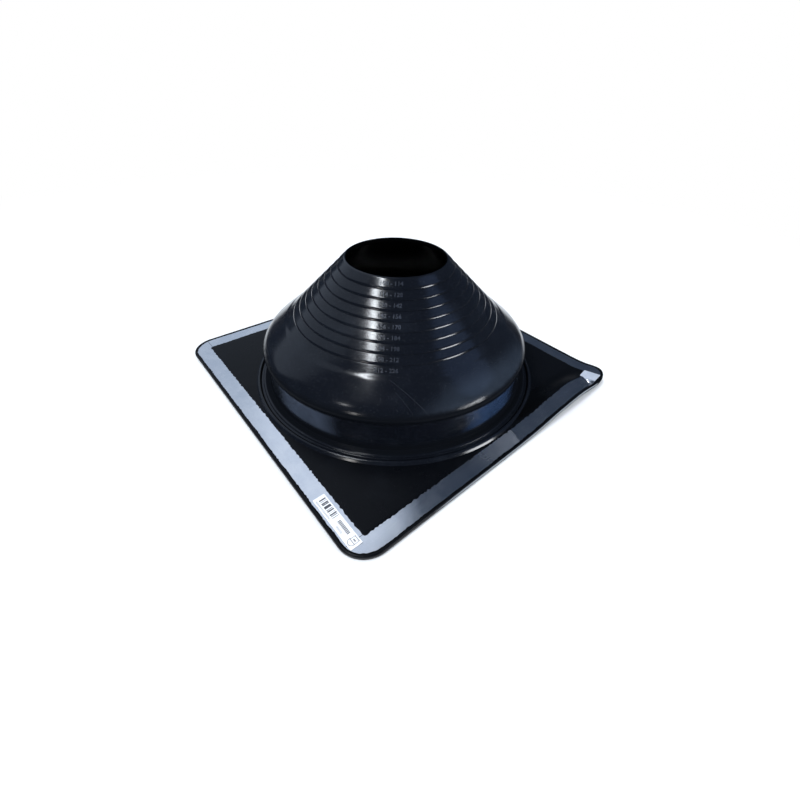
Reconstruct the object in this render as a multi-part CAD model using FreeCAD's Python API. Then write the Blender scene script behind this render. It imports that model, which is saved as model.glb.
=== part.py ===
"""Pipe flashing boot: a rubber bell on a square flange whose edge holds four aluminium strips.

Millimetres. The origin is the centre of the flange's underside and +Z runs up the pipe's axis.
The flange's sides lie along X and Y, with its front side towards -Y.
The bell stretches over a round pipe that comes through a roof. Its cone is moulded in stepped
bands, so that it can be cut square along the band that suits the pipe. The flange is bedded on
the roof and screwed down through the aluminium strips, which keep the shape they are bent to.
"""

import FreeCAD, Part
import math
import os

# Flange
BASE_SIDE = 363.0
CORNER_RADIUS = 26.0
FLANGE_THICKNESS = 4.7
TOP_EDGE_BEVEL = 1.4
BOTTOM_EDGE_BEVEL = 0.8

# Sealing ribs on the underside
RIB_DEPTH = 1.4
RIB_BAND_WIDTH = 25.0
RIB_GROOVE_WIDTH = 3.0
RIB_GROOVE_COUNT = 2
RIB_PITCH = 8.5
RIB_BAND_CORNER = 12.0

# Aluminium strips, seated in a pocket with thin rubber lips over both edges
STRIP_MARGIN = 3.0
STRIP_VISIBLE = 17.5
STRIP_TUCK = 0.6
STRIP_THICKNESS = 0.5
LIP_THICKNESS = 0.4
JOINT_GAP = 0.4

# Stepped cone
BOOT_HEIGHT = 131.4
OPENING_RADIUS = 50.0
OPENING_LAND = 4.0
LIP_CHAMFER = 0.4
CONE_TOP_RADIUS = 52.0
BAND_RUN = 7.0
BAND_DROP = 6.65
BAND_COUNT = 9
BAND_STEP = 0.8

# Dome and lower wall
WALL = 3.2
DOME_SHOULDER = (136.0, 57.3)
CREASE = (144.6, 46.0)
WALL_FOOT = (143.2, 13.0)

# Double bead round the foot of the bell: the foot's bend, an inner and an outer ridge
FOOT_BEND = ((144.4, 9.8), (147.6, 7.8))
INNER_RIDGE = ((150.9, 7.2), (152.4, 8.0), (153.9, 7.0))
OUTER_RIDGE = ((155.3, 6.0), (157.2, 7.5), (158.9, 7.4), (160.6, FLANGE_THICKNESS))
MOUTH_RIB_WIDTH = 5.5

# Paper label on the front strip, near the flange's right-hand front corner
LABEL_LENGTH = 56.0
LABEL_WIDTH = 10.8
LABEL_THICKNESS = 0.2
LABEL_CENTRE = (137.4, -170.8)

# Places worked out from the sizes above
HALF_SIDE = BASE_SIDE / 2
STRIP_OUTER = HALF_SIDE - STRIP_MARGIN + STRIP_TUCK
STRIP_INNER = HALF_SIDE - STRIP_MARGIN - STRIP_VISIBLE - STRIP_TUCK
STRIP_TOP = FLANGE_THICKNESS - LIP_THICKNESS
STRIP_BOTTOM = STRIP_TOP - STRIP_THICKNESS
SKIN_BOTTOM = RIB_DEPTH
OVERSHOOT = 1.0
Z_AXIS = FreeCAD.Vector(0, 0, 1)
ORIGIN = FreeCAD.Vector(0, 0, 0)


def save(name, solid):
    """Write one node, after checking that it is a single valid solid."""
    if len(solid.Solids) != 1 or not solid.isValid():
        raise ValueError(name + " is not one valid solid")
    solid.Solids[0].exportStep("parts/" + name + ".step")
    print(name, "volume", round(solid.Volume / 1000.0, 2), "cm3")


def rounded_square(half_side, corner_radius, z_low, z_high):
    """A square prism on the Z axis with its four upright edges rounded."""
    height = z_high - z_low
    corner = FreeCAD.Vector(-half_side, -half_side, z_low)
    prism = Part.makeBox(2 * half_side, 2 * half_side, height, corner)
    if corner_radius <= 0:
        return prism
    upright = [edge for edge in prism.Edges if abs(edge.tangentAt(0).z) > 0.99]
    return prism.makeFillet(corner_radius, upright)


def square_ring(outer_half, outer_corner, inner_half, inner_corner, z_low, z_high):
    """A square frame between two rounded squares."""
    outside = rounded_square(outer_half, outer_corner, z_low, z_high)
    inside = rounded_square(inner_half, inner_corner, z_low - OVERSHOOT, z_high + OVERSHOOT)
    return outside.cut(inside)


def at_radius(point):
    """A profile point, given as (radius, height), on the XZ plane."""
    return FreeCAD.Vector(point[0], 0, point[1])


def straight(start, end):
    """A straight run of the profile."""
    return Part.LineSegment(at_radius(start), at_radius(end)).toShape()


def bow(start, middle, end):
    """A round run of the profile through three points."""
    return Part.Arc(at_radius(start), at_radius(middle), at_radius(end)).toShape()


def slope_down(start, end):
    """The angle in degrees at which the profile goes down from start to end."""
    return math.degrees(math.atan2(start[1] - end[1], end[0] - start[0]))


def arc_middle(start, start_slope, end):
    """The middle point of the arc that leaves start going down at start_slope and reaches end."""
    chord = math.hypot(end[0] - start[0], end[1] - start[1])
    chord_slope = slope_down(start, end)
    half_turn = math.radians(chord_slope - start_slope)
    rise = chord / 2 * math.tan(half_turn / 2)
    chord_middle = ((start[0] + end[0]) / 2, (start[1] + end[1]) / 2)
    return moved_inwards(chord_middle, chord_slope, -rise)


def moved_inwards(point, slope, distance):
    """A profile point moved square to a surface that goes down at slope, towards the inside."""
    angle = math.radians(slope)
    return (point[0] - distance * math.sin(angle), point[1] - distance * math.cos(angle))


def chain(points):
    """Straight runs through a list of points."""
    return [straight(a, b) for a, b in zip(points, points[1:])]


CONE_SLOPE = slope_down((0, BAND_DROP), (BAND_RUN, 0))


def cone_edge(number):
    """The outermost edge of a band, counted from the lip at 0."""
    top_height = BOOT_HEIGHT - LIP_CHAMFER
    return (CONE_TOP_RADIUS + number * BAND_RUN, top_height - number * BAND_DROP)


CONE_FOOT = cone_edge(BAND_COUNT)
DOME_SLOPE = slope_down(CONE_FOOT, DOME_SHOULDER)


def band_points():
    """The stepped cone: each band ends in an edge that stands proud, and steps in to the next one."""
    points = [cone_edge(0)]
    for number in range(1, BAND_COUNT):
        points.append(cone_edge(number))
        points.append(moved_inwards(cone_edge(number), CONE_SLOPE, BAND_STEP))
    points.append(CONE_FOOT)
    return points


def outer_skin():
    """The bell's outside, from the opening's rim down to the flange's top face."""
    rim = (CONE_TOP_RADIUS - LIP_CHAMFER, BOOT_HEIGHT)
    skin = chain([rim] + band_points() + [DOME_SHOULDER])
    skin.append(bow(DOME_SHOULDER, arc_middle(DOME_SHOULDER, DOME_SLOPE, CREASE), CREASE))
    skin += chain([CREASE, WALL_FOOT, *FOOT_BEND, *INNER_RIDGE, *OUTER_RIDGE])
    return skin


def inner_skin():
    """The bell's inside, from the mouth on the underside up to the opening's rim."""
    mouth_radius = WALL_FOOT[0] - WALL
    crease = (CREASE[0] - WALL, CREASE[1] - WALL / 2)
    shoulder = moved_inwards(DOME_SHOULDER, DOME_SLOPE, WALL)
    land_foot = (OPENING_RADIUS, BOOT_HEIGHT - OPENING_LAND)
    cone_length = (CONE_FOOT[0] - CONE_TOP_RADIUS) / math.cos(math.radians(CONE_SLOPE))
    cone_foot = moved_inwards(land_foot, CONE_SLOPE - 90.0, cone_length)
    return chain([
        (mouth_radius, 0),
        (mouth_radius, WALL_FOOT[1]),
        crease,
        arc_middle(shoulder, DOME_SLOPE, crease),
        shoulder,
        cone_foot,
        land_foot,
        (OPENING_RADIUS, BOOT_HEIGHT),
    ])


def mouth_rib():
    """The underside between the flange's skin and the mouth, with its round sealing rib."""
    inner = WALL_FOOT[0] - WALL
    outer = inner + MOUTH_RIB_WIDTH
    return chain([
        OUTER_RIDGE[-1],
        (OUTER_RIDGE[-1][0], SKIN_BOTTOM),
        (outer + SKIN_BOTTOM / 2, SKIN_BOTTOM),
        (outer, 0),
        (inner, 0),
    ])


def bell():
    """The bell and its bead, turned from one closed profile."""
    rim = [straight((OPENING_RADIUS, BOOT_HEIGHT), (CONE_TOP_RADIUS - LIP_CHAMFER, BOOT_HEIGHT))]
    profile = Part.Wire(Part.__sortEdges__(outer_skin() + mouth_rib() + inner_skin() + rim))
    return Part.Face(profile).revolve(ORIGIN, Z_AXIS, 360)


def flange():
    """The square flange: bevelled edge and ribbed underside, with room for the bell's foot."""
    plate = rounded_square(HALF_SIDE, CORNER_RADIUS, 0, FLANGE_THICKNESS)
    top_edges = [e for e in plate.Edges if e.BoundBox.ZMin > FLANGE_THICKNESS - 0.01]
    plate = plate.makeChamfer(TOP_EDGE_BEVEL, top_edges)
    bottom_edges = [e for e in plate.Edges if e.BoundBox.ZMax < 0.01]
    plate = plate.makeChamfer(BOTTOM_EDGE_BEVEL, bottom_edges)
    band_inner = HALF_SIDE - RIB_BAND_WIDTH
    plate = plate.cut(rounded_square(band_inner, RIB_BAND_CORNER, -OVERSHOOT, SKIN_BOTTOM))
    for groove in rib_grooves():
        plate = plate.cut(groove)
    hole_start = FreeCAD.Vector(0, 0, -OVERSHOOT)
    hole = Part.makeCylinder(INNER_RIDGE[0][0], FLANGE_THICKNESS + 2 * OVERSHOOT, hole_start)
    return plate.cut(hole)


def rib_grooves():
    """The square grooves that leave sealing ribs standing under the strips."""
    grooves = []
    middle = HALF_SIDE - RIB_BAND_WIDTH / 2
    for number in range(RIB_GROOVE_COUNT):
        centre = middle + (number - (RIB_GROOVE_COUNT - 1) / 2) * RIB_PITCH
        outer = centre + RIB_GROOVE_WIDTH / 2
        inner = centre - RIB_GROOVE_WIDTH / 2
        corner = CORNER_RADIUS - (HALF_SIDE - outer)
        inner_corner = corner - RIB_GROOVE_WIDTH
        grooves.append(square_ring(outer, corner, inner, inner_corner, -OVERSHOOT, SKIN_BOTTOM))
    return grooves


def strip_pocket():
    """The room the strips take, open to the top between the two rubber lips."""
    corner = CORNER_RADIUS - (HALF_SIDE - STRIP_OUTER)
    seat = square_ring(STRIP_OUTER, corner, STRIP_INNER, 0, STRIP_BOTTOM, STRIP_TOP)
    window = square_ring(STRIP_OUTER - STRIP_TUCK, corner - STRIP_TUCK, STRIP_INNER + STRIP_TUCK, 0,
                         STRIP_TOP, FLANGE_THICKNESS + OVERSHOOT)
    return seat.fuse(window)


def boot():
    """The one-piece rubber moulding. The pocket comes last, because the bead's foot reaches its lip."""
    return flange().fuse(bell()).cut(strip_pocket()).removeSplitter()


def strip(turns):
    """One strip. It runs through one corner and stops a joint gap short of the next strip."""
    corner = CORNER_RADIUS - (HALF_SIDE - STRIP_OUTER)
    frame = square_ring(STRIP_OUTER, corner, STRIP_INNER, 0, STRIP_BOTTOM, STRIP_TOP)
    length = STRIP_OUTER + STRIP_INNER - JOINT_GAP
    width = STRIP_OUTER - STRIP_INNER
    start = FreeCAD.Vector(-STRIP_OUTER, -STRIP_OUTER, STRIP_BOTTOM)
    front = frame.common(Part.makeBox(length, width, STRIP_THICKNESS, start))
    front.rotate(ORIGIN, Z_AXIS, 90.0 * turns)
    return front


def label():
    """The paper label, stuck on the strip."""
    corner = FreeCAD.Vector(LABEL_CENTRE[0] - LABEL_LENGTH / 2, LABEL_CENTRE[1] - LABEL_WIDTH / 2, STRIP_TOP)
    return Part.makeBox(LABEL_LENGTH, LABEL_WIDTH, LABEL_THICKNESS, corner)


os.makedirs("parts", exist_ok=True)
save("boot", boot())
for turns, side in enumerate(("front", "right", "back", "left")):
    save("edge_strip_" + side, strip(turns))
save("label", label())
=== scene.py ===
# %% [markdown]
# # A pipe flashing boot
# A rubber bell stands on a square rubber flange, and four aluminium strips lie in the flange's edge.
# The solids come from the CAD model and are never moved. The pieces made here stand where those
# solids stand, and add what a moulding shop and a shelf add: soft lips, ragged flash, a bent
# corner, moulded numbers, and finishes. Everything is in metres, with the origin under the middle
# of the flange and Z up the pipe's axis.

import math

import bpy
import numpy as np
from mathutils import Matrix, Vector


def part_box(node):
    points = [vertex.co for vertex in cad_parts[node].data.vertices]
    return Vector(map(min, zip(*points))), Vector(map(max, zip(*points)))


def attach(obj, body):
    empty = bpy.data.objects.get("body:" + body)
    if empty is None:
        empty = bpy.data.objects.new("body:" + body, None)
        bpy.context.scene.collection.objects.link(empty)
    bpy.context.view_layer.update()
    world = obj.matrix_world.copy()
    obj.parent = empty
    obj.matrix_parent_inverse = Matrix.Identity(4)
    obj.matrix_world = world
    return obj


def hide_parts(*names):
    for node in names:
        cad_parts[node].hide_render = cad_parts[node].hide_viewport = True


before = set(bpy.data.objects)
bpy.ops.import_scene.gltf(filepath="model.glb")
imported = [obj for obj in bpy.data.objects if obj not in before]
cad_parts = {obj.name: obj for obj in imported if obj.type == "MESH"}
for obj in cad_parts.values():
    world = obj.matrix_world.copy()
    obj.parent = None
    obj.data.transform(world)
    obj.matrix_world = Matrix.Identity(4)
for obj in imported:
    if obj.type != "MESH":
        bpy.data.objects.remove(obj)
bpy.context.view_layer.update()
MM = 0.001
HALF_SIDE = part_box("boot")[1].x / MM
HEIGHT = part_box("boot")[1].z / MM
STRIP_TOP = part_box("edge_strip_front")[1].z / MM
STRIP_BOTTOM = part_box("edge_strip_front")[0].z / MM
print("nodes", sorted(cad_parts), "half side", round(HALF_SIDE, 2), "height", round(HEIGHT, 2))

# %% [markdown]
# ## Writing shaders as sums
# A material is a graph of nodes. Adding and linking each one by hand is long and hard to read, so
# a small class wraps a socket and turns sums, products, powers and comparisons into Math nodes.
# Any other node comes from one method, which sets the node's choices first and then fills its
# sockets with values or links. A comparison gives 1 or 0, so masks are multiplied together.


# %% Sockets as numbers
class Wire:
    """One output of a node. Arithmetic on it adds a Math node to the same graph."""

    def __init__(self, graph, socket):
        self.graph, self.socket = graph, socket

    def math(self, operation, *values):
        return self.graph.add("ShaderNodeMath", {"operation": operation}, dict(enumerate(values)))

    def __add__(self, other):
        return self.math("ADD", self, other)

    def __sub__(self, other):
        return self.math("SUBTRACT", self, other)

    def __rsub__(self, other):
        return self.math("SUBTRACT", other, self)

    def __mul__(self, other):
        return self.math("MULTIPLY", self, other)

    def __lt__(self, other):
        return self.math("LESS_THAN", self, other)

    def __gt__(self, other):
        return self.math("GREATER_THAN", self, other)

    def __abs__(self):
        return self.math("ABSOLUTE", self)

    def __pow__(self, other):
        return self.math("POWER", self, other)

    __radd__, __rmul__ = __add__, __mul__

    def larger(self, other):
        return self.math("MAXIMUM", self, other)

    def smaller(self, other):
        return self.math("MINIMUM", self, other)

    def ramp(self, low, high, to_low=0.0, to_high=1.0):
        """Smoothly from to_low to to_high as the value goes from low to high."""
        settings = {"interpolation_type": "SMOOTHSTEP"}
        return self.graph.add("ShaderNodeMapRange", settings, {0: self, 1: low, 2: high, 3: to_low, 4: to_high})

    def span(self, start, full, fading, end):
        """0 outside start and end, 1 from full to fading, and smooth between."""
        return self.ramp(start, full) * self.ramp(fading, end, 1.0, 0.0)

    def sine(self, rate, phase=0.0):
        """sin(rate x value + phase), in radians: a pattern that repeats along the value."""
        return self.math("SINE", self * rate + phase)


print("operations", len([name for name in vars(Wire) if callable(getattr(Wire, name))]))

# %% [markdown]
# ## Building a node tree
# A texture needs to know where on the piece a point lies, and the floor and the world need to
# know which kind of ray has met them. These are nodes too, so they're methods of the tree.


# %% Node trees
class Graph:
    """A node tree, with one method that adds a node of any type."""

    def __init__(self, owner):
        owner.use_nodes = True
        self.tree = owner.node_tree
        self.tree.nodes.clear()

    def add(self, kind, settings=None, sockets=None, output=0):
        """A new node with its settings and sockets filled, and one of its outputs as a Wire."""
        node = self.tree.nodes.new(kind)
        for name, value in (settings or {}).items():
            setattr(node, name, value)
        for key, value in (sockets or {}).items():
            if isinstance(value, Wire):
                self.tree.links.new(value.socket, node.inputs[key])
            else:
                node.inputs[key].default_value = value
        return Wire(self, node.outputs[output]) if node.outputs else None

    def place(self):
        """The point on the surface, in the piece's own coordinates, as x, y, z and the vector."""
        vector = self.add("ShaderNodeTexCoord", output=3)
        parts = [self.add("ShaderNodeSeparateXYZ", None, {0: vector}, output=i) for i in range(3)]
        return (*parts, vector)

    def rays(self):
        """1 for rays from the camera, and for rays that a glossy or a clear surface sends on."""
        return [self.add("ShaderNodeLightPath", output=i) for i in (0, 3, 6)]

    def noise(self, vector, scale, detail=2.0, roughness=0.5):
        """Cloudy values about 0.5: scale is how many blobs lie in a metre."""
        sockets = {"Vector": vector, "Scale": scale, "Detail": detail, "Roughness": roughness}
        return self.add("ShaderNodeTexNoise", None, sockets)

    def stretch(self, vector, factors):
        """The vector with each axis multiplied, so that a pattern on it is squeezed along that axis."""
        return self.add("ShaderNodeVectorMath", {"operation": "MULTIPLY"}, {0: vector, 1: factors})

    def blend(self, factor, first, second):
        """A colour between two colours."""
        return self.add("ShaderNodeMix", {"data_type": "RGBA"}, {0: factor, 6: first, 7: second}, output=2)

    def bump(self, height, distance, strength=1.0, normal=None):
        """A normal tilted by a height pattern, on top of an earlier bump if one is given."""
        sockets = {"Strength": strength, "Distance": distance, "Height": height}
        if normal is not None:
            sockets["Normal"] = normal
        return self.add("ShaderNodeBump", None, sockets)


def colour(red, green, blue):
    return (red, green, blue, 1.0)


print("shader helpers ready")

# %% [markdown]
# ## The camera
# A wide lens stands close to the boot, looks down on it at a little over 40 degrees, and is rolled
# a few degrees about its own axis. Its place is given as a turn about the boot, a height angle and
# a distance from the point it looks at, because those three are easy to change one at a time.

# %% Camera
VIEW_AZIMUTH, VIEW_ELEVATION, VIEW_ROLL = (math.radians(a) for a in (46.30, 42.85, 3.34))
VIEW_DISTANCE = 0.4697
VIEW_TARGET = Vector((0.0414, 0.0067, -0.0462))
LENS, LENS_SHIFT = 16.80, (-0.0275, 0.00875)


def direction(azimuth, elevation):
    """The unit vector towards a place seen from the boot: azimuth 0 is the front, 90 the right."""
    flat = math.cos(elevation)
    return Vector((math.sin(azimuth) * flat, -math.cos(azimuth) * flat, math.sin(elevation)))


def turned_to(back, roll=0.0):
    """A rotation whose -Z looks against back, with its X level and then rolled."""
    right = Vector((0, 0, 1)).cross(back).normalized()
    up = back.cross(right)
    rolled_right = right * math.cos(roll) + up * math.sin(roll)
    rolled_up = up * math.cos(roll) - right * math.sin(roll)
    return Matrix((rolled_right, rolled_up, back)).transposed().to_4x4()


camera = bpy.data.objects.new("camera", bpy.data.cameras.new("camera"))
bpy.context.scene.collection.objects.link(camera)
bpy.context.scene.camera = camera
camera.data.lens = LENS
camera.data.shift_x, camera.data.shift_y = LENS_SHIFT
camera.data.clip_start = 0.01
view_back = direction(VIEW_AZIMUTH, VIEW_ELEVATION)
view_place = Matrix.Translation(VIEW_TARGET + view_back * VIEW_DISTANCE)
camera.matrix_world = view_place @ turned_to(view_back, VIEW_ROLL)
print("camera at", [round(c, 4) for c in camera.matrix_world.translation])

# %% [markdown]
# ## The studio
# Black rubber shows what stands round it more than its own colour, so the studio is built for its
# mirror. The floor is a pale table that keeps a soft shadow and fades to white for the camera. Under
# the boot its colour is painted near black, a painted shade where hardly any light gets in. For
# polished things the table ends on the viewer's side, and past it lies a dark room, which keeps the
# steps and the dome's edge black.

# %% Floor
view_settings = bpy.context.scene.view_settings
view_settings.view_transform = "Standard"
FLOOR_RADIUS, FLOOR_DROP = 6.0, 0.0002
UNDER_BOOT = (0.115, 0.140)
FADES_TO_WHITE = (0.30, 1.10)
TABLE_EDGE, TABLE_ROUND = (-0.36, -0.27), (0.34, 0.50)
BEHIND = direction(VIEW_AZIMUTH + math.pi, 0.0)


def floor_disc():
    """A flat disc on the XY plane: radius times the cosine and sine of an even angle."""
    angle = np.linspace(0, 2 * math.pi, 96, endpoint=False)
    ring = np.stack([FLOOR_RADIUS * np.cos(angle), FLOOR_RADIUS * np.sin(angle), 0 * angle - FLOOR_DROP], -1)
    mesh = bpy.data.meshes.new("floor")
    mesh.from_pydata(ring.tolist(), [], [list(range(len(ring)))])
    return mesh


floor = bpy.data.objects.new("floor", floor_disc())
bpy.context.scene.collection.objects.link(floor)

floor_paint = bpy.data.materials.new("pale_floor")
g = Graph(floor_paint)
to_camera, to_glossy, to_clear = g.rays()
x, y = g.place()[:2]
away = (x * x + y * y) ** 0.5
behind = x * BEHIND.x + y * BEHIND.y
# The floor's colour goes near black under the boot: painted shade.
painted_shade_floor_colour = g.blend(away.ramp(*UNDER_BOOT), colour(0.01, 0.01, 0.012), colour(0.90, 0.92, 0.94))
table = g.add("ShaderNodeBsdfDiffuse", None, {"Color": painted_shade_floor_colour})
room = g.add("ShaderNodeBsdfDiffuse", None, {"Color": colour(0.02, 0.022, 0.03)})
white = g.add("ShaderNodeEmission", None, {"Color": colour(1, 1, 1), "Strength": 1.0})
whitened = to_camera.larger(to_glossy).larger(to_clear) * away.ramp(*FADES_TO_WHITE)
faded = g.add("ShaderNodeMixShader", None, {0: whitened, 1: table, 2: white})
past_table = behind.ramp(*TABLE_EDGE, 1.0, 0.0).larger(away.ramp(*TABLE_ROUND))
mirrored_room = (1.0 - to_camera) * to_glossy * past_table
seen = g.add("ShaderNodeMixShader", None, {0: mirrored_room, 1: faded, 2: room})
g.add("ShaderNodeOutputMaterial", None, {0: seen})
floor.data.materials.append(floor_paint)
print("floor", FLOOR_RADIUS, "m in radius")

# %% [markdown]
# ## The world
# The world is white for the camera. Polished things see that white only low down behind the boot,
# and a dark blue-grey ceiling above it. Light that spreads comes from a plain pale ceiling. So the
# white background never puts more light on the boot.

# %% World
HORIZON, BACKDROP_SIDES = (-0.03, 0.0), (-0.25, 0.15)
world = bpy.data.worlds.new("studio")
bpy.context.scene.world = world
g = Graph(world)
to_camera, to_glossy, to_clear = g.rays()
ray = g.add("ShaderNodeTexCoord", output=0)
across, deep, up = (g.add("ShaderNodeSeparateXYZ", None, {0: ray}, output=i) for i in range(3))
polished = to_glossy.larger(to_clear)
backdrop = up.ramp(*HORIZON, 1.0, 0.0) * (across * BEHIND.x + deep * BEHIND.y).ramp(*BACKDROP_SIDES)
background = to_camera.larger(polished * backdrop)
ceiling = g.blend(polished, colour(0.80, 0.81, 0.83), colour(0.026, 0.038, 0.062))
sky = g.blend(background, ceiling, colour(1, 1, 1))
g.add("ShaderNodeOutputWorld", None, {0: g.add("ShaderNodeBackground", None, {"Color": sky, "Strength": 1.0})})
print("world ready")

# %% [markdown]
# ## The lamps
# Each flat lamp is there for what it draws in the rubber or the aluminium. A wide pale panel gives
# the cone's left side and the front strip their sheen, and a smaller one above it brightens the
# strip towards its corner. A long narrow lamp, rolled a little so that it mirrors as an upright
# column, runs down the bands. Two small lamps in front draw the highlights on the dome and on the
# ring. A lamp on the right draws the short arcs under the bands, and a weak blue panel tints that
# side. Blender gives a flat lamp's power in watts, four for each unit of radiance and square metre.

# %% Lamps
WATTS_PER_RADIANCE = 4.0
LAMPS_AIM_AT = Vector((0, 0, 0.05))


def softbox(name, azimuth, elevation, distance, width, height, radiance, tint, roll=0.0, aside=0.0):
    """A flat lamp that faces the boot, as bright as radiance over its whole face.

    It may be rolled about the line to the boot, and slid aside in its own plane."""
    data = bpy.data.lights.new(name, "AREA")
    data.shape, data.size, data.size_y = "RECTANGLE", width, height
    data.energy = radiance * WATTS_PER_RADIANCE * width * height
    data.color = tint
    lamp = bpy.data.objects.new(name, data)
    bpy.context.scene.collection.objects.link(lamp)
    back = direction(math.radians(azimuth), math.radians(elevation))
    turned = turned_to(back, math.radians(roll))
    place = back * distance + turned.to_3x3() @ Vector((aside, 0, 0)) + LAMPS_AIM_AT
    lamp.matrix_world = Matrix.Translation(place) @ turned
    return lamp


softbox("left_panel", -88, 42, 2.0, 2.4, 2.3, 0.40, (0.75, 0.87, 1.05), aside=0.42)
softbox("left_high", -107, 56, 2.0, 0.64, 1.50, 0.21, (0.86, 0.89, 0.97))
softbox("key_lamp", -10.8, 66.7, 2.5, 0.86, 0.19, 40.0, (0.90, 0.95, 1.0), roll=-14)
softbox("front_high", 4, 41, 2.5, 0.18, 0.16, 14.0, (0.95, 0.97, 1.0))
softbox("front_lamp", 18, 24, 2.5, 0.26, 0.20, 15.0, (1.0, 0.98, 0.95))
softbox("right_lamp", 111, 16, 2.5, 0.90, 0.46, 16.0, (0.93, 0.96, 1.0))
softbox("right_glow", 136, 46, 2.2, 1.0, 1.1, 0.55, (0.34, 0.52, 1.0))

# %% [markdown]
# ## Finishes
# The rubber is moulded EPDM: almost black, glossy where the mould was polished, with cloudy
# patches where release agent dried, a fine grain, grey specks and a few light scratches. Paler
# bluish patches on two sides of the lower wall and on one side of the dome are painted sheen: the
# light that the rubber mirrors there, put into its colour. Noise alone would put these anywhere, so
# each painted sheen patch is a soft cap on one side of the bell, and each scratch is a thin strip
# round a line. The inside of the bore is found by its normals, which face the axis, and its colour
# is painted darker there as painted shade.

# %% Colour of the rubber
# A span is where a painted sheen patch starts, is full, begins to fade and has gone, as heights in metres.
ON_WALL, ON_DOME = (0.012, 0.018, 0.036, 0.041), (0.046, 0.050, 0.058, 0.069)
# Each painted sheen patch: its side as an angle in degrees, how far out it starts and is full, its
# span, its tone.
PAINTED_SHEEN_PATCHES = ((-77.0, 0.1365, 0.1425, ON_WALL, (0.045, 0.058, 0.086)),
         (3.0, 0.1370, 0.1425, ON_WALL, (0.022, 0.042, 0.090)),
         (5.0, 0.108, 0.136, ON_DOME, (0.019, 0.026, 0.038)))
# Each scratch: where it starts, its turn in radians, its length and how strongly it shows.
SCRATCHES = (((0.088, -0.0785), 0.31, 0.048, 0.12), ((0.098, -0.0800), 0.12, 0.030, 0.07))
SCRATCH_HALF_WIDTH, SCRATCH_WOBBLE, SCRATCH_FLOOR = 0.00018, 0.0012, 0.047


def facing_axis(g, here):
    """1 where the surface faces the pipe's axis: there the normal's dot product with (x, y, 0) is below 0."""
    normal = g.add("ShaderNodeNewGeometry", output=1)
    outwards = g.stretch(here, (1, 1, 0))
    out = g.add("ShaderNodeVectorMath", {"operation": "DOT_PRODUCT"}, {0: normal, 1: outwards}, output=1)
    return out.ramp(-0.02, 0.0, 1.0, 0.0)


def rubber_colour(g, clouds, smears, specks, dust, shade):
    """Near black, greyed by clouds of dust, then specks, painted sheen patches and scratches, and painted
    darkest in the bore as painted shade.
    """
    x, y, z, here = g.place()
    clean = colour(0.0042 * shade, 0.0055 * shade, 0.0088 * shade)
    dusty = colour(0.014 * shade, 0.018 * shade, 0.026 * shade)
    base = g.blend(clouds.ramp(0.45, 0.75) * dust, clean, dusty)
    base = g.blend(specks * dust, base, colour(0.09, 0.10, 0.11))
    # Each patch blends in a paler blue: painted sheen, light the rubber mirrors put into its colour.
    for middle, low, high, span, tone in PAINTED_SHEEN_PATCHES:
        side = x * math.cos(math.radians(middle)) + y * math.sin(math.radians(middle))
        base = g.blend(side.ramp(low, high) * z.span(*span) * (clouds + 0.35), base, colour(*tone))
    for start, turn, length, weight in SCRATCHES:
        cosine, sine = math.cos(turn), math.sin(turn)
        along = (x - start[0]) * cosine + (y - start[1]) * sine
        off = (y - start[1]) * cosine - (x - start[0]) * sine + (smears - 0.5) * SCRATCH_WOBBLE
        line = (abs(off) < SCRATCH_HALF_WIDTH) * (along > 0.0) * (along < length)
        scratch = line * (z > SCRATCH_FLOOR) * (clouds > 0.42)
        base = g.blend(scratch * weight, base, colour(0.10, 0.11, 0.13))
    # Faces that look at the axis are painted almost black: painted shade inside the bore.
    return g.blend(facing_axis(g, here), base, colour(0.0008, 0.0009, 0.0012))


print("blooms", len(PAINTED_SHEEN_PATCHES), "scratches", len(SCRATCHES))

# %% [markdown]
# ## Painted shade in the crease, at the foot and in the corner
# The crease over the wall, the flat at the bell's foot and the hollow of the lifted corner are
# painted dark as painted shade: a near-black film with no mirror. A rougher gloss would still mirror
# the floor there, so the painted shade is a second shader with no mirror at all, and a mask mixes
# it in. Mottling breaks up the crease's two edges.

# %% Rubber
IN_CREASE, CREASE_MOTTLE = (0.0372, 0.0400, 0.0462, 0.0512), 0.004
FOOT_RADII, FOOT_FADES = (0.142, 0.143, 0.1500, 0.1512), (0.011, 0.016)
LIFTED_CORNER = (0.230, 0.246)
CREASE_PAINTED_SHADE, FOOT_PAINTED_SHADE, CORNER_PAINTED_SHADE = 0.93, 0.97, 0.75


def painted_shade_mask(g):
    """How much painted shade lies on the crease (by height), the foot (by radius) and the corner (by x + y)."""
    x, y, z, here = g.place()
    mottled = z + (g.noise(here, 260.0, 3.0, 0.7) - 0.5) * CREASE_MOTTLE
    foot = ((x * x + y * y) ** 0.5).span(*FOOT_RADII) * z.ramp(*FOOT_FADES, 1.0, 0.0)
    corner = (x + y).ramp(*LIFTED_CORNER)
    return (mottled.span(*IN_CREASE) * CREASE_PAINTED_SHADE).larger(foot * FOOT_PAINTED_SHADE).larger(corner * CORNER_PAINTED_SHADE)


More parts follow.
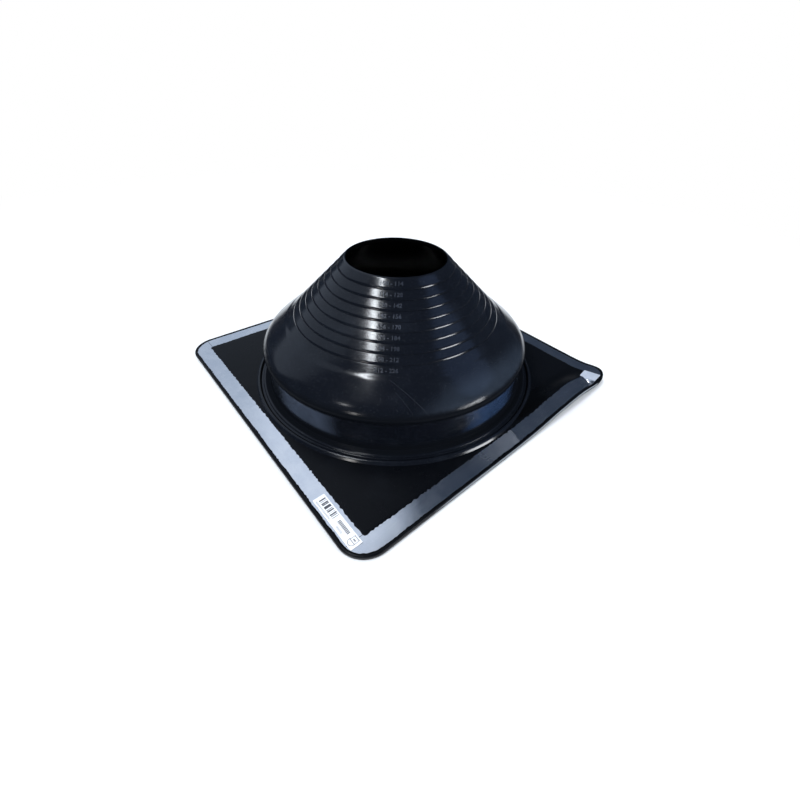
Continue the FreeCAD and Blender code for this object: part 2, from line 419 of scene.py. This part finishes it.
def rubber(name, gloss, dust, shade=1.0, shine=0.35):
    """Black moulded rubber. gloss is its mean roughness and dust how much grey lies on it.

    shade scales its colour, and shine the strength of its mirror."""
    material = bpy.data.materials.new(name)
    g = Graph(material)
    here = g.place()[3]
    clouds = g.noise(here, 28.0, 4.0, 0.6)
    smears = g.noise(g.stretch(here, (1, 1, 0.35)), 90.0, 3.0, 0.55)
    grain = g.noise(here, 2600.0, 2.0, 0.5)
    orange_peel = g.noise(here, 420.0, 2.0, 0.45)
    specks = g.noise(here, 1500.0, 1.0, 0.4).ramp(0.70, 0.78)
    roughness = gloss + (clouds - 0.5) * 0.12 + (smears - 0.5) * 0.10 + specks * 0.2
    bump = g.bump(grain, 0.00002, 0.5)
    bump = g.bump(orange_peel, 0.00005, 0.4, bump)
    bump = g.bump(smears, 0.0003, 0.15, bump)
    glossy = g.add("ShaderNodeBsdfPrincipled", None, {
        "Base Color": rubber_colour(g, clouds, smears, specks, dust, shade), "Roughness": roughness,
        "Normal": bump, "Specular IOR Level": shine, "IOR": 1.5})
    # A near-black diffuse with no mirror: the painted shade.
    dull = g.add("ShaderNodeBsdfDiffuse", None, {"Color": colour(0.004, 0.005, 0.007)})
    shader = g.add("ShaderNodeMixShader", None, {0: painted_shade_mask(g), 1: glossy, 2: dull})
    g.add("ShaderNodeOutputMaterial", None, {0: shader})
    return material


bell_rubber = rubber("bell_rubber", 0.15, 0.35)
# The flange is the same rubber with its colour scaled down to 0.4: painted shade.
flange_rubber_painted_darker = rubber("flange_rubber_painted_darker", 0.30, 0.30, shade=0.40, shine=0.14)
# The numbers are the same rubber with full grey clouds and a colour three and a half times paler.
number_rubber = rubber("number_rubber", 0.34, 1.0, shade=3.5)
print("rubber ready")

# %% [markdown]
# ## Aluminium
# The strips are soft rolled sheet. Rolling leaves fine lines along a strip, so a noise is squeezed
# hard along it. Handling leaves blurred marks and shallow dents, and one stretch of the right-hand
# strip is rubbed dull. Metal is bright only by what it mirrors, so these change its roughness and
# its bumps more than its colour.

# %% Aluminium
SQUEEZED, STRETCHED = 900, 12
RUBBED_SIDE, RUBBED_FROM, RUBBED_TO = 0.155, (-0.060, 0.010), (0.012, 0.0155)
RUBBED_SLANT, RUBBED_ROUGHER = 0.3, 0.24


def aluminium(name, along_x):
    """Soft rolled sheet: fine lines along the strip, blurred handling marks and a rubbed stretch."""
    material = bpy.data.materials.new(name)
    g = Graph(material)
    x, y, z, here = g.place()
    squeeze = (STRETCHED, SQUEEZED, 1) if along_x else (SQUEEZED, STRETCHED, 1)
    lines = g.noise(g.stretch(here, squeeze), 1.0, 3.0, 0.6)
    marks = g.noise(here, 60.0, 3.0, 0.6)
    dents = g.noise(here, 22.0, 2.0, 0.5)
    base = g.blend(marks.ramp(0.35, 0.7), colour(0.80, 0.83, 0.88), colour(0.90, 0.92, 0.95))
    slanted = y + (marks - 0.5) * 0.01 + (x - 0.17) * RUBBED_SLANT
    rubbed = (x > RUBBED_SIDE) * y.ramp(*RUBBED_FROM) * slanted.ramp(*RUBBED_TO, 1.0, 0.0)
    roughness = 0.13 + lines * 0.08 + (marks - 0.5) * 0.10 + rubbed * RUBBED_ROUGHER
    bump = g.bump(lines, 0.00001, 0.2)
    bump = g.bump(dents, 0.0008, 0.3, bump)
    shader = g.add("ShaderNodeBsdfPrincipled", None, {
        "Base Color": base, "Metallic": 1.0, "Roughness": roughness, "Normal": bump})
    g.add("ShaderNodeOutputMaterial", None, {0: shader})
    return material


strip_metal = {True: aluminium("strip_metal_along_x", True), False: aluminium("strip_metal_along_y", False)}
print("aluminium ready")

# %% [markdown]
# ## Surfaces from grids
# Every new piece is a function of two parameters, worked out as whole arrays. A grid of points
# becomes quads: each point joins its neighbour along the row, along the column and across.


# %% Grid meshes
def grid_mesh(name, points, loop_rows=False, loop_columns=False):
    """Quads over a grid of points. Rows or columns may close on themselves."""
    rows, columns = points.shape[:2]
    index = np.arange(rows * columns).reshape(rows, columns)
    if loop_rows:
        index = np.concatenate([index, index[:1]], 0)
    if loop_columns:
        index = np.concatenate([index, index[:, :1]], 1)
    quads = np.stack([index[:-1, :-1], index[:-1, 1:], index[1:, 1:], index[1:, :-1]], -1).reshape(-1, 4)
    mesh = bpy.data.meshes.new(name)
    mesh.vertices.add(rows * columns)
    mesh.vertices.foreach_set("co", (points.reshape(-1, 3) * MM).astype(np.float32).ravel())
    mesh.loops.add(quads.size)
    mesh.loops.foreach_set("vertex_index", quads.ravel())
    mesh.polygons.add(len(quads))
    mesh.polygons.foreach_set("loop_start", np.arange(0, quads.size, 4))
    mesh.polygons.foreach_set("use_smooth", np.ones(len(quads), bool))
    mesh.update(calc_edges=True)
    mesh.validate()
    return mesh


def piece(mesh, material, slot, *replaced, sharp=40.0):
    """A finished piece on the boot: its finish, its edges, its body and the solids it stands for."""
    mesh.set_sharp_from_angle(angle=math.radians(sharp))
    made = bpy.data.objects.new(mesh.name, mesh)
    bpy.context.scene.collection.objects.link(made)
    mesh.materials.append(material)
    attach(made, "root")
    if replaced:
        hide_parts(*replaced)
    print(mesh.name, len(mesh.polygons), "faces")
    return made


print("grid helpers ready")

# %% [markdown]
# ## Rounding a profile
# A moulded corner is never sharp. A quadratic curve from one side of the corner to the other,
# pulled towards the corner itself, leaves both straights along their own direction:
# p(t) = start (1 - t)^2 + corner 2t (1 - t) + end t^2.


# %% Rounded lines
def rounded(corners, radii, steps=5, guard=0.0):
    """A line through corners, each cut off at its radius and bridged by a parabola that keeps the tangents.

    A guard is one more point, that far outside each bridge. It keeps the long straights flat under
    smooth shading, which otherwise spreads a corner's normals over them."""
    corners = np.array(corners, float)
    line = [corners[:1]]
    t = np.linspace(0, 1, steps)[:, None]
    for i in range(1, len(corners) - 1):
        before, at, after = corners[i - 1 : i + 2]
        lengths = np.linalg.norm(before - at), np.linalg.norm(after - at)
        cut = min(radii[i], 0.48 * lengths[0], 0.48 * lengths[1])
        start = at + (before - at) / lengths[0] * cut
        end = at + (after - at) / lengths[1] * cut
        if guard and cut + 1.5 * guard < lengths[0] / 2:
            line.append(start[None] + (before - at) / lengths[0] * guard)
        line.append(start * (1 - t) ** 2 + 2 * at * t * (1 - t) + end * t**2 if cut > 0 else at[None])
        if guard and cut + 1.5 * guard < lengths[1] / 2:
            line.append(end[None] + (after - at) / lengths[1] * guard)
    line.append(corners[-1:])
    return np.concatenate(line)


print("a rounded right angle has", len(rounded([(0, 0), (1, 0), (1, 1)], [0, 0.2, 0])), "points")

# %% [markdown]
# ## The bent corner
# A boot like this is bent by hand on the roof, and this one has been handled: the strips keep a
# bend at the right-hand corner. The lift is a smooth hump along the right side and a second one at
# the corner's tip. The flange and the strips are both lifted by it, so they stay together.


# %% Lift of the right-hand corner
def smooth_step(low, high, value):
    """0 below low, 1 above high, and a smooth cubic between."""
    t = np.clip((value - low) / (high - low), 0, 1)
    return t * t * (3 - 2 * t)


HUMP_MIDDLE, HUMP_BEFORE, HUMP_AFTER, HUMP_HEIGHT = 112.0, 40.0, 27.0, 11.5
TIP_MIDDLE, TIP_SPREAD, TIP_HEIGHT = (190.0, 186.0), 19.0, 11.0
HUMP_STARTS, HUMP_FULL = 138, 166
DIP_ACROSS, DIP_ALONG, DIP_SHARE = (160, 176), (60, 95), 0.225


def lifted(points):
    """Points with z raised by a bell curve along the right side, fading inwards, and a round one at the tip.

    The hump is a little lower towards the outer edge near the corner, where the sheet curls over."""
    x, y, z = points[..., 0], points[..., 1], points[..., 2]
    spread = np.where(y < HUMP_MIDDLE, HUMP_BEFORE, HUMP_AFTER)
    hump = HUMP_HEIGHT * np.exp(-0.5 * ((y - HUMP_MIDDLE) / spread) ** 2)
    dip = DIP_SHARE * smooth_step(*DIP_ACROSS, x) * smooth_step(*DIP_ALONG, y)
    hump = hump * smooth_step(HUMP_STARTS, HUMP_FULL, x) * (1 - dip)
    away = ((x - TIP_MIDDLE[0]) ** 2 + (y - TIP_MIDDLE[1]) ** 2) / TIP_SPREAD**2
    tip = TIP_HEIGHT * np.exp(-0.5 * away)
    return np.stack([x, y, z + hump + tip], -1)


print("lift at the hump", lifted(np.array([[165.0, HUMP_MIDDLE, 0.0]]))[0, 2].round(2), "mm")

# %% [markdown]
# ## The bell
# The bell is round, so it is one profile turned about the pipe's axis: radius times the cosine and
# sine of the turn, and the height. The profile is the CAD one with the corners a mould can't make
# sharp rounded off. Each band swells a little above its lip, and the step under the lip is cut in,
# so that it stays in its own shadow. The dome ends in a rounded roll that stands over the lower
# wall. The wall's foot bends out to a groove and the two ridges of the ring.

# %% Bell profile
BANDS, BAND_RUN, BAND_DROP = 9, 7.0, 6.65
STEP_DOWN = np.array([-0.02, -1.18])
UNDERCUT = np.array([-0.42, -1.02])
LIP_FACE = np.array([-0.08, -0.72])
BROW_BACK, BULGE = 1.1, 0.08
STEP_RADII = [1.2, 0.08, 0.10, 0.15]
TOP_RADIUS, OPENING_RADIUS = 52.0, 50.0
LIP_HEIGHT = HEIGHT - 0.4


def band_edge(number):
    """The outermost edge under a band, counted from the opening's lip at 0."""
    return np.array([TOP_RADIUS + number * BAND_RUN, LIP_HEIGHT - number * BAND_DROP])


# Corners below the bands and inside the bell, each as its radius, its height and its rounding.
DOME = ((115.0, 71.1, 1.3), (118.2, 69.1, 1.3), (136.0, 55.3, 2.5), (139.2, 52.5, 1.5))
ROLL = ((142.3, 49.1, 2.0), (144.7, 45.6, 2.2), (144.9, 42.2, 1.4), (143.7, 40.4, 0.7))
LOWER_WALL = ((142.9, 27.0, 9), (143.9, 13.5, 3), (145.4, 8.0, 0.6), (152.3, 6.9, 0.35))
RING = ((152.9, 5.4, 0.4), (155.2, 5.1, 0.4), (156.0, 7.3, 0.8), (158.5, 7.3, 1.1),
        (160.7, 4.7, 0.3), (161.2, 4.1, 0))
INSIDE = ((150.0, 1.4, 0), (146.4, 1.4, 0.5), (145.7, 0.0, 0.4), (140.0, 0.0, 0.5), (140.0, 13.0, 3),
          (141.4, 44.4, 4), (134.3, 54.6, 9), (113.0, 67.55, 4), (50.0, 127.4, 1),
          (OPENING_RADIUS, HEIGHT, 0.5), (OPENING_RADIUS + 0.9, HEIGHT, 0))


def outside_profile():
    """Corners and rounding radii down the outside, from the opening to the flange."""
    corners, radii = [(OPENING_RADIUS + 0.9, HEIGHT), (TOP_RADIUS, LIP_HEIGHT)], [0.8, 0.9]
    for number in range(1, BANDS):
        edge = band_edge(number)
        start = band_edge(number - 1) + (STEP_DOWN if number > 1 else 0)
        across = (edge - start) / np.linalg.norm(edge - start)
        brow = edge - across * BROW_BACK + np.array([-across[1], across[0]]) * BULGE
        corners += [brow, edge + LIP_FACE, edge + UNDERCUT, edge + STEP_DOWN]
        radii += STEP_RADII
    for part in (DOME, ROLL, LOWER_WALL, RING):
        corners += [(radius, height) for radius, height, rounding in part]
        radii += [rounding for radius, height, rounding in part]
    return corners, radii


def inside_profile():
    """Corners and rounding radii from the underside, up the inside, back to the opening."""
    return [corner[:2] for corner in INSIDE], [corner[2] for corner in INSIDE]


print("corners outside", len(outside_profile()[0]), "and inside", len(INSIDE))

# %% [markdown]
# ## Turning the profile
# The two lines are joined into one closed profile, which is turned once round the axis. More turns
# than the eye can tell keep the lips round where they meet the background.

# %% Bell
TURN_STEPS, LIP_GUARD = 240, 0.12
outer = rounded(*outside_profile(), steps=4, guard=LIP_GUARD)
inner = rounded(*inside_profile())
bell_profile = np.concatenate([outer, inner[:-1]])
turn = np.linspace(0, 2 * math.pi, TURN_STEPS, endpoint=False)[:, None]


def turned(profile):
    """Every profile point at every turn about Z."""
    radius, height = profile[None, :, 0], profile[None, :, 1]
    return np.stack([radius * np.cos(turn), radius * np.sin(turn), height + 0 * turn], -1)


bell_points = turned(bell_profile[::-1])
bell_mesh = grid_mesh("bell", bell_points, loop_rows=True, loop_columns=True)
piece(bell_mesh, bell_rubber, "black_rubber", "boot")

# %% [markdown]
# ## The flange
# The flange is a profile carried round a rounded square. On each side the rubber laps over the
# strips in thin lips. They were trimmed by tearing, so their edges are ragged: a sum of sines with
# seeded wave numbers and phases moves them in and out. Raising it to a power keeps it mostly low,
# so single teeth of rubber reach out over the metal, up to three millimetres on the inner lip.

# %% Path round the flange
CORNER_RADIUS, SIDE_STEPS, CORNER_STEPS = 26.0, 300, 26
POCKET_INNER = 21.1
rng = np.random.default_rng(7)


def square_path(inset):
    """Points round a rounded square set in from the flange's edge, and the way out at each point.

    A corner is an arc about its centre, and a side runs from one arc to the next. The corner's
    radius shrinks with the inset until the inner lip, where it is nearly sharp."""
    radius = max(CORNER_RADIUS - inset * (CORNER_RADIUS - 0.8) / POCKET_INNER, 0.8)
    centre = HALF_SIDE - inset - radius
    along = np.linspace(-centre, centre, SIDE_STEPS, endpoint=False)
    side = np.stack([along, np.full_like(along, -centre - radius)], -1)
    side_out = np.tile([0.0, -1.0], (SIDE_STEPS, 1))
    angle = np.linspace(-math.pi / 2, 0, CORNER_STEPS, endpoint=False)
    corner_out = np.stack([np.cos(angle), np.sin(angle)], -1)
    corner = np.array([centre, -centre]) + radius * corner_out
    points, out = np.concatenate([side, corner]), np.concatenate([side_out, corner_out])
    quarter = np.array([[0.0, 1.0], [-1.0, 0.0]])
    turns = [np.linalg.matrix_power(quarter, n) for n in range(4)]
    return np.concatenate([points @ m for m in turns]), np.concatenate([out @ m for m in turns])


PATH_COUNT = len(square_path(0.0)[0])
path_length = np.linspace(0, 1, PATH_COUNT, endpoint=False) * 2 * math.pi


def ragged(depth, waves, sharpness):
    """A torn edge round the path: depth x (0.5 + 0.5 x sum of sines) ^ sharpness."""
    total = sum(np.sin(path_length * w + rng.uniform(0, 2 * math.pi)) * rng.uniform(0.5, 1.0) for w in waves)
    total = total / np.abs(total).max()
    return depth * (0.5 + 0.5 * total) ** sharpness


short_waves = rng.integers(90, 420, 26)
long_waves = rng.integers(6, 60, 12)
inner_tear = ragged(2.1, short_waves, 1.5) + ragged(0.9, long_waves, 1.2)
outer_tear = ragged(1.0, rng.integers(60, 420, 26), 1.8) + ragged(0.7, rng.integers(6, 60, 12), 1.5)
print("path", PATH_COUNT, "points, tear up to", round(float(inner_tear.max()), 2), "mm")

# %% Flange surface
THICKNESS = 4.7
GROOVES, GROOVE_HALF_WIDTH, GROOVE_DEPTH = (8.25, 16.75), 1.5, 1.4
UNDER_BELL, UNDER_RING = 150.0, 157.0
# The section as (inset, height, tear) rows. A tear moves a row in or out with the torn edge.
RIM = ((0.8, 0.0, 0), (0.25, 0.25, 0), (0.0, 0.9, 0), (0.0, 2.0, 0), (0.0, 3.0, 0), (0.12, 3.7, 0),
       (0.5, 4.35, 0), (1.1, 4.66, 0), (1.7, THICKNESS, 0))
OUTER_LIP = ((2.4, 4.68, 0), (2.75, 4.62, 0.6), (2.95, 4.55, 0.9), (3.05, 4.42, 1), (3.05, 4.30, 1),
             (2.6, 4.29, 0.5))
POCKET = ((2.4, 3.9, 0), (3.0, 3.78, 0), (12.0, 3.78, 0), (20.5, 3.78, 0), (POCKET_INNER, 3.9, 0))
INNER_LIP = ((20.9, 4.29, -0.5), (20.45, 4.30, -1), (20.45, 4.42, -1), (20.55, 4.55, -0.9),
             (20.75, 4.62, -0.6), (21.4, 4.68, 0), (22.2, THICKNESS, 0))


def flange_rows():
    """The flange's whole section, from the two grooves underneath, round the edge, to the top."""
    rows = [(25.0, GROOVE_DEPTH, 0), (25.0, 0.0, 0)]
    for groove in reversed(GROOVES):
        inner, outer = groove + GROOVE_HALF_WIDTH, groove - GROOVE_HALF_WIDTH
        rows += [(inner, 0.0, 0), (inner, GROOVE_DEPTH, 0), (outer, GROOVE_DEPTH, 0), (outer, 0.0, 0)]
    return rows + [*RIM, *OUTER_LIP, *POCKET, *INNER_LIP]


def flange_points():
    """Each row of the section at every path point, between rows that run in to circles under the bell."""
    def spot(inset, height, tear):
        points, out = square_path(inset)
        shift = outer_tear if tear > 0 else inner_tear
        points = points - out * (shift * tear)[:, None]
        return np.concatenate([points, np.full((PATH_COUNT, 1), height)], -1)

    def towards_circle(start, radius, height, shares):
        flat = start[:, :2]
        ring = flat / np.linalg.norm(flat, axis=1, keepdims=True) * radius
        level = np.full((PATH_COUNT, 1), height)
        return [np.concatenate([flat * (1 - s) + ring * s, level], -1) for s in shares]

    rows = [spot(*row) for row in flange_rows()]
    under = towards_circle(rows[0], UNDER_BELL, GROOVE_DEPTH, np.linspace(1, 0, 9)[:-1])
    top = towards_circle(rows[-1], UNDER_RING, THICKNESS, np.linspace(0, 1, 17)[1:])
    return np.stack(under + rows + top, 1)


flange_mesh = grid_mesh("flange", lifted(flange_points()), loop_rows=True)
piece(flange_mesh, flange_rubber_painted_darker, "black_rubber", "boot")

# %% [markdown]
# ## The strips
# Each strip is a thin plate that runs through one corner and stops just short of the next strip.
# One strip is worked out along the front, and the others are the same plate turned by quarter
# turns. The sheet is soft, so it is never quite flat: a sum of long, weak sines waves its top. The
# right-hand strip's free end has sprung out of the bent rubber and stands up as a small tongue.

# %% Strip plates
STRIP_INNER, STRIP_END, STRIP_SEED = 160.4, 160.0, 11
ROUND_CENTRE, ROUND_RADIUS = 155.5, 23.6
ROUND_STEPS, LENGTH_STEPS, WIDTH_STEPS = 40, 300, 14
SHEET_WAVE = 0.045
TONGUE_START, TONGUE_LENGTH, TONGUE_SLOPES = 145.5, 9.0, (0.22, 0.46)
TONGUE_CREASE = 2.0


def strip_points(turns, seed):
    """x along the strip, y from the rounded outer edge to the inner edge, z the sheet's waves."""
    wave_rng = np.random.default_rng(seed)
    start = -(ROUND_CENTRE + math.sqrt(ROUND_RADIUS**2 - (STRIP_INNER - ROUND_CENTRE) ** 2))
    along = np.concatenate([np.linspace(start, -ROUND_CENTRE, ROUND_STEPS, endpoint=False),
                            np.linspace(-ROUND_CENTRE, STRIP_END, LENGTH_STEPS)])[:, None]
    across = np.linspace(0, 1, WIDTH_STEPS)[None, :]
    beyond = np.clip(-ROUND_CENTRE - along, 0, None)
    outer_edge = -(ROUND_CENTRE + np.sqrt(np.clip(ROUND_RADIUS**2 - beyond**2, 0, None)))
    y = outer_edge * (1 - across) - STRIP_INNER * across
    x = along + 0 * across
    wave = sum(wave_rng.uniform(0.3, 1) * np.sin(x / wave_rng.uniform(9, 40) + y / wave_rng.uniform(6, 20)
                                                 + wave_rng.uniform(0, 6)) for _ in range(7))
    top = STRIP_TOP - 0.05 + SHEET_WAVE * wave / np.abs(wave).max()
    bottom = np.full_like(top, STRIP_BOTTOM)
    shell = np.concatenate([np.stack([x, y, top], -1), np.stack([x, y, bottom], -1)[:, ::-1]], 1)
    angle = turns * math.pi / 2
    c, s = round(math.cos(angle)), round(math.sin(angle))
    x, y, z = (shell[..., i] for i in range(3))
    return np.stack([x * c - y * s, x * s + y * c, z], -1)


def closed_ends(points):
    """The first and last rows drawn in to their own middle line, so that the plate has no open end."""
    middle = points.mean(1, keepdims=True) * [[[0, 0, 1]]] + points * [[[1, 1, 0]]]
    return np.concatenate([middle[:1], points, middle[-1:]], 0)


def tongue(flat):
    """The right strip's free end: past a crease it leaves the bent rubber and runs on as a tilted plane."""
    x, y, z = flat[..., 0], flat[..., 1], flat[..., 2]
    bent = lifted(flat)[..., 2]
    past = np.clip(y - TONGUE_START, 0, None) * TONGUE_LENGTH / (STRIP_END - TONGUE_START)
    crease = lifted(np.array([STRIP_INNER, TONGUE_START, 0.0]))[2]
    plane = z + crease + (x - STRIP_INNER) * TONGUE_SLOPES[0] + past * TONGUE_SLOPES[1]
    share = np.clip((y - TONGUE_START) / TONGUE_CREASE + 1.0, 0, 1)
    return np.stack([x, np.minimum(y, TONGUE_START) + past, bent + (plane - bent) * share], -1)


print("each strip has", ROUND_STEPS + LENGTH_STEPS, "rows")

# %% Strips
for turns, side in enumerate(("front", "right", "back", "left")):
    flat = closed_ends(strip_points(turns, STRIP_SEED + turns))
    shape = tongue(flat) if side == "right" else lifted(flat)
    mesh = grid_mesh("strip_" + side, shape, loop_columns=True)
    piece(mesh, strip_metal[turns % 2 == 0], "soft_aluminium", "edge_strip_" + side)

# %% [markdown]
# ## A painted highlight along the right rim
# Where the right side is bent up, one pale, dull line runs along the rim's outer face below the
# lip. It is a painted highlight: a thin, pale ribbon carried along the rim.

# %% Painted highlight along the right rim
RIBBON = np.array([(0.12, 2.4), (0.12, 3.1), (0.02, 3.75), (-0.18, 4.10)])
RIBBON_DEPTH = 0.3
RIBBON_OPENS, RIBBON_CLOSES = (-128.0, -70.0), (146.0, 156.0)


def edge_points(steps=260):
    """A thin ribbon round the rim's outer face: it opens from nothing at both ends to its full height."""
    along = np.linspace(RIBBON_OPENS[0], RIBBON_CLOSES[1], steps)
    share = (smooth_step(*RIBBON_OPENS, along) * (1 - smooth_step(*RIBBON_CLOSES, along)))[:, None]
    middle = RIBBON.mean(0) - (RIBBON_DEPTH / 2, 0)
    loop = np.concatenate([RIBBON, RIBBON[::-1] - (RIBBON_DEPTH, 0)])
    spots = [middle + (spot - middle) * share for spot in loop]
    return np.stack([np.stack([HALF_SIDE + spot[:, 0], along, spot[:, 1]], -1) for spot in spots], 1)


# A pale, dull colour that stands for light on the rim: a painted highlight.
rim_highlight_paint = bpy.data.materials.new("rim_painted_highlight")
g = Graph(rim_highlight_paint)
highlight_streaks = g.noise(g.stretch(g.place()[3], (1, 0.15, 1)), 700.0, 2.0, 0.6)
painted_highlight_shader = g.add("ShaderNodeBsdfPrincipled", None, {
    "Base Color": g.blend(highlight_streaks, colour(0.12, 0.15, 0.17), colour(0.22, 0.25, 0.28)),
    "Metallic": 0.1, "Roughness": 0.45 + highlight_streaks * 0.15})
g.add("ShaderNodeOutputMaterial", None, {0: painted_highlight_shader})
shape = lifted(closed_ends(edge_points()))
piece(grid_mesh("right_rim_painted_highlight", shape[:, ::-1], loop_columns=True), rim_highlight_paint, "soft_aluminium")

# %% [markdown]
# ## The label
# A small coated paper label, stuck across the joint of two strips. Its print is left generic:
# plain bars, grey rules and a small outline. The material draws it from the label's own UV map,
# as boxes between two limits each way, and the bars and rules are sines cut off at a level.

# %% Label print
LABEL_LOW, LABEL_HIGH = (np.array(corner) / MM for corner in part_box("label"))
PAPER_THICKNESS, PAPER_CURL, PAPER_RIPPLE, PAPER_CLEAR = 0.15, 0.5, 0.05, 0.05


def paper():
    """White coated paper. u runs along the label and v across it, both from 0 to 1."""
    material = bpy.data.materials.new("label_paper")
    g = Graph(material)
    uv = g.add("ShaderNodeUVMap", {"uv_map": "label"})
    u = g.add("ShaderNodeSeparateXYZ", None, {0: uv}, output=0)
    v = g.add("ShaderNodeSeparateXYZ", None, {0: uv}, output=1)

    def field(u_low, u_high, v_low, v_high):
        return (u > u_low) * (u < u_high) * (v > v_low) * (v < v_high)

    bars = field(0.05, 0.44, 0.34, 0.90) * (u.sine(190.0) + u.sine(83.0, 1.7) > -0.15)
    rule = field(0.05, 0.42, 0.10, 0.24) * (u.sine(260.0) > -0.4)
    words = field(0.52, 0.78, 0.48, 0.76) * (u.sine(240.0) > -0.55)
    small = field(0.57, 0.71, 0.16, 0.32) * (u.sine(360.0) > -0.2)
    box = field(0.85, 0.96, 0.42, 0.90) - field(0.859, 0.951, 0.48, 0.84)
    ring = (((u - 0.90) * 5.2) ** 2.0 + (v - 0.42) ** 2.0) ** 0.5
    box = box + (ring > 0.27) * (ring < 0.32) * (v < 0.5) + field(0.88, 0.93, 0.58, 0.70)
    ink = (bars * 0.95 + rule * 0.55 + words * 0.9 + small * 0.6 + box * 0.75).smaller(1.0)
    fibre = g.noise(g.place()[3], 900.0, 3.0, 0.6)
    sheet = g.blend(fibre, colour(0.80, 0.83, 0.88), colour(0.90, 0.92, 0.95))
    base = g.blend(ink, sheet, colour(0.03, 0.035, 0.05))
    shader = g.add("ShaderNodeBsdfPrincipled", None, {
        "Base Color": base, "Roughness": 0.42 + fibre * 0.1, "Normal": g.bump(fibre, 0.00002, 0.4)})
    g.add("ShaderNodeOutputMaterial", None, {0: shader})
    return material


print("label", (LABEL_HIGH - LABEL_LOW).round(2), "mm")


# %% Label sheet
def label_points(steps=60, rows=12):
    """A thin sheet over the CAD label's rectangle, whose corners have begun to curl."""
    u, v = np.meshgrid(np.linspace(0, 1, steps), np.linspace(0, 1, rows), indexing="ij")
    x = LABEL_LOW[0] + u * (LABEL_HIGH[0] - LABEL_LOW[0])
    y = LABEL_LOW[1] + v * (LABEL_HIGH[1] - LABEL_LOW[1])
    curl = PAPER_CURL * smooth_step(0.93, 1.0, u) * smooth_step(0.4, 1.0, np.abs(v - 0.4) * 2)
    ripple = PAPER_RIPPLE * np.sin(u * 19 + v * 3) * np.sin(v * 7 + 1)
    top = LABEL_HIGH[2] + PAPER_CLEAR + curl + ripple
    below = np.stack([x, y, top - PAPER_THICKNESS], -1)
    shell = np.concatenate([np.stack([x, y, top], -1), below[:, ::-1]], 1)
    uv = np.concatenate([np.stack([u, v], -1), np.stack([u, v], -1)[:, ::-1]], 1)
    return closed_ends(shell), np.concatenate([uv[:1], uv, uv[-1:]], 0)


shape, uv = label_points()
mesh = grid_mesh("label_sheet", shape, loop_columns=True)
corner_index = np.zeros(len(mesh.loops), np.int32)
mesh.loops.foreach_get("vertex_index", corner_index)
corner_uv = uv.reshape(-1, 2)[corner_index].astype(np.float32)
mesh.uv_layers.new(name="label").data.foreach_set("uv", corner_uv.ravel())
piece(mesh, paper(), "label_paper", "label")

# %% [markdown]
# ## The moulded numbers
# Each band is cut away for a larger pipe, so each carries the pipe sizes it suits, in millimetres.
# Text is made flat first and turned into a mesh. Then it is wrapped on the cone: across becomes a
# turn about the axis, up becomes a step up the slope, and depth becomes a step off the surface.

# %% Numbers on the bands
NUMBER_TURN = math.radians(-43.5)
NUMBER_HEIGHT, NUMBER_RELIEF = 4.0, 0.26
SIZE_PER_DIGIT_HEIGHT = 1.38


def text_points(words, height):
    """The mesh of a line of text, centred, with its depth along Z."""
    font = bpy.data.curves.new("words", "FONT")
    font.body, font.size, font.align_x, font.align_y = words, height * SIZE_PER_DIGIT_HEIGHT, "CENTER", "CENTER"
    font.extrude, font.bevel_depth, font.resolution_u = NUMBER_RELIEF, NUMBER_RELIEF / 2, 3
    holder = bpy.data.objects.new("words", font)
    bpy.context.scene.collection.objects.link(holder)
    mesh = bpy.data.meshes.new_from_object(holder.evaluated_get(bpy.context.evaluated_depsgraph_get()))
    bpy.data.objects.remove(holder)
    points = np.zeros(len(mesh.vertices) * 3, np.float32)
    mesh.vertices.foreach_get("co", points)
    return mesh, points.reshape(-1, 3)


def on_band(points, number):
    """Points wrapped on a band: (radius, height) goes up the band's own slope from its middle."""
    low, high = band_edge(number), band_edge(number - 1) + (STEP_DOWN if number > 1 else 0)
    up_slope = (high - low) / np.linalg.norm(high - low)
    off = np.array([up_slope[1], -up_slope[0]])
    place = (low + high) / 2 + points[:, 1:2] * up_slope + points[:, 2:3] * off
    angle = NUMBER_TURN + points[:, 0] / place[:, 0]
    return np.stack([place[:, 0] * np.cos(angle), place[:, 0] * np.sin(angle), place[:, 1]], -1)


for number in range(1, BANDS + 1):
    size = round(2 * band_edge(number - 1)[0])
    mesh, flat_text = text_points(f"{size - 4} - {size + 10}", NUMBER_HEIGHT)
    mesh.vertices.foreach_set("co", (on_band(flat_text, number) * MM).astype(np.float32).ravel())
    mesh.name = f"band_number_{number}"
    mesh.update()
    piece(mesh, number_rubber, "black_rubber", sharp=30.0)

# %% [markdown]
# The visual model has to stay inside the CAD model's box, apart from a few millimetres.
